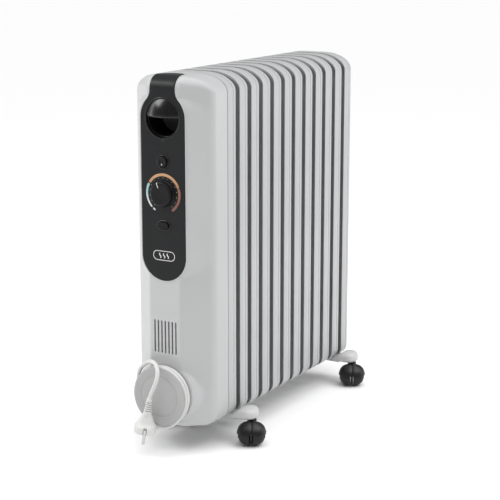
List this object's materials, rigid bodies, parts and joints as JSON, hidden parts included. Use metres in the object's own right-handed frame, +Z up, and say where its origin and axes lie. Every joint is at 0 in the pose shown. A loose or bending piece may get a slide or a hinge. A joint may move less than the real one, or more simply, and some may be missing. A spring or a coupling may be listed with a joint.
{
  "type": "oil filled radiator heater",
  "caption": "Free-standing oil filled electric radiator with welded fins, a control housing with thermostat, a cord winder and twin-wheel casters.",
  "frame": {"origin": "on the floor under the centre of the heater's bounding box, the free lead left out", "axes": "+Z up, the control panel faces -Y, the fins follow one another along +Y, +X is the heater's right side seen from the panel"},
  "size_m": [0.276, 0.5971, 0.643],
  "materials": {
    "fin_enamel": "satin white enamel on welded steel sheet",
    "bar_enamel": "satin white enamel on bent steel sheet",
    "housing_white": "finely textured satin white moulding",
    "cap_white": "satin white moulding",
    "disc_grey": "satin light grey moulding",
    "panel_black": "satin black fascia",
    "gloss_black": "polished black moulding",
    "knob_black": "fine grained black moulding",
    "scale_print": "printed colour bands",
    "badge_white": "printed white waves",
    "caster_black": "black nylon hood",
    "wheel_black": "black nylon wheel",
    "cord_white": "soft white PVC",
    "plug_white": "white moulded PVC",
    "pin_nickel": "nickel plated brass",
    "zinc_steel": "zinc plated steel",
    "element_steel": "sheathed heating element",
    "brass_flange": "machined brass",
    "ceramic_ivory": "heat resistant ivory moulding",
    "wire_brown": "silicone insulated wire"
  },
  "bodies": {
    "housing": {"fin_01": "fin_enamel", "fin_02": "fin_enamel", "fin_03": "fin_enamel", "fin_04": "fin_enamel", "fin_05": "fin_enamel", "fin_06": "fin_enamel", "fin_07": "fin_enamel", "fin_08": "fin_enamel", "fin_09": "fin_enamel", "fin_10": "fin_enamel", "fin_11": "fin_enamel", "fin_12": "fin_enamel", "lower_oil_header": "fin_enamel", "upper_oil_header": "fin_enamel", "oil_fill_plug": "zinc_steel", "heating_elements": "element_steel", "element_flange": "brass_flange", "control_housing": "housing_white", "heat_shield": "zinc_steel", "control_panel": "panel_black", "handle_cup": "gloss_black", "handle_grip": "gloss_black", "scale_ring": "scale_print", "thermostat_body": "ceramic_ivory", "button_bezels": "gloss_black", "eco_switch": "ceramic_ivory", "power_switch": "ceramic_ivory", "panel_badge": "badge_white", "winder_drum": "housing_white", "winder_disc": "disc_grey", "cord_gland": "cord_white", "cord_winding": "cord_white", "cord_tail": "cord_white", "plug_relief": "plug_white", "plug_body": "plug_white", "plug_pins": "pin_nickel", "terminal_block": "ceramic_ivory", "thermal_cutout": "zinc_steel", "tilt_switch": "ceramic_ivory", "wiring": "wire_brown", "housing_screws": "zinc_steel", "front_caster_bar": "bar_enamel", "rear_caster_bar": "bar_enamel", "bar_end_caps": "cap_white", "bar_u_bolts": "zinc_steel", "bar_wing_nuts": "zinc_steel"},
    "thermostat": {"thermostat_knob": "knob_black", "thermostat_shaft": "zinc_steel"},
    "eco_button": {"eco_button": "knob_black"},
    "power_key": {"power_key": "knob_black"},
    "swivel_fr": {"caster_hood_fr": "caster_black"},
    "wheels_fr": {"caster_wheels_fr": "wheel_black"},
    "swivel_fl": {"caster_hood_fl": "caster_black"},
    "wheels_fl": {"caster_wheels_fl": "wheel_black"},
    "swivel_rr": {"caster_hood_rr": "caster_black"},
    "wheels_rr": {"caster_wheels_rr": "wheel_black"},
    "swivel_rl": {"caster_hood_rl": "caster_black"},
    "wheels_rl": {"caster_wheels_rl": "wheel_black"}
  },
  "joints": [
    {"name": "thermostat_turn", "type": "hinge", "parent": "housing", "child": "thermostat", "pos_m": [0, -0.2565, 0.449], "axis": [0, -1, 0], "range_deg": [-160, 120]},
    {"name": "eco_button_press", "type": "slide", "parent": "housing", "child": "eco_button", "axis": [0, 1, 0], "range_m": [0, 0.003], "stiffness_N_per_m": 600, "springref_m": -0.002},
    {"name": "power_key_press", "type": "slide", "parent": "housing", "child": "power_key", "axis": [0, 1, 0], "range_m": [0, 0.003], "stiffness_N_per_m": 600, "springref_m": -0.002},
    {"name": "swivel_fr_turn", "type": "hinge", "parent": "housing", "child": "swivel_fr", "pos_m": [0.104, -0.1445, 0.05], "axis": [0, 0, 1], "continuous": true},
    {"name": "swivel_fl_turn", "type": "hinge", "parent": "housing", "child": "swivel_fl", "pos_m": [-0.104, -0.1445, 0.05], "axis": [0, 0, 1], "continuous": true},
    {"name": "swivel_rr_turn", "type": "hinge", "parent": "housing", "child": "swivel_rr", "pos_m": [0.104, 0.2455, 0.05], "axis": [0, 0, 1], "continuous": true},
    {"name": "swivel_rl_turn", "type": "hinge", "parent": "housing", "child": "swivel_rl", "pos_m": [-0.104, 0.2455, 0.05], "axis": [0, 0, 1], "continuous": true},
    {"name": "wheels_fr_roll", "type": "hinge", "parent": "swivel_fr", "child": "wheels_fr", "pos_m": [0.11081, -0.15787, 0.02], "axis": [0.891, 0.454, 0], "continuous": true},
    {"name": "wheels_fl_roll", "type": "hinge", "parent": "swivel_fl", "child": "wheels_fl", "pos_m": [-0.0899, -0.14963, 0.02], "axis": [0.342, 0.9397, 0], "continuous": true},
    {"name": "wheels_rr_roll", "type": "hinge", "parent": "swivel_rr", "child": "wheels_rr", "pos_m": [0.11081, 0.23214, 0.02], "axis": [0.891, 0.454, 0], "continuous": true},
    {"name": "wheels_rl_roll", "type": "hinge", "parent": "swivel_rl", "child": "wheels_rl", "pos_m": [-0.11081, 0.23214, 0.02], "axis": [0.891, -0.454, 0], "continuous": true}
  ]
}
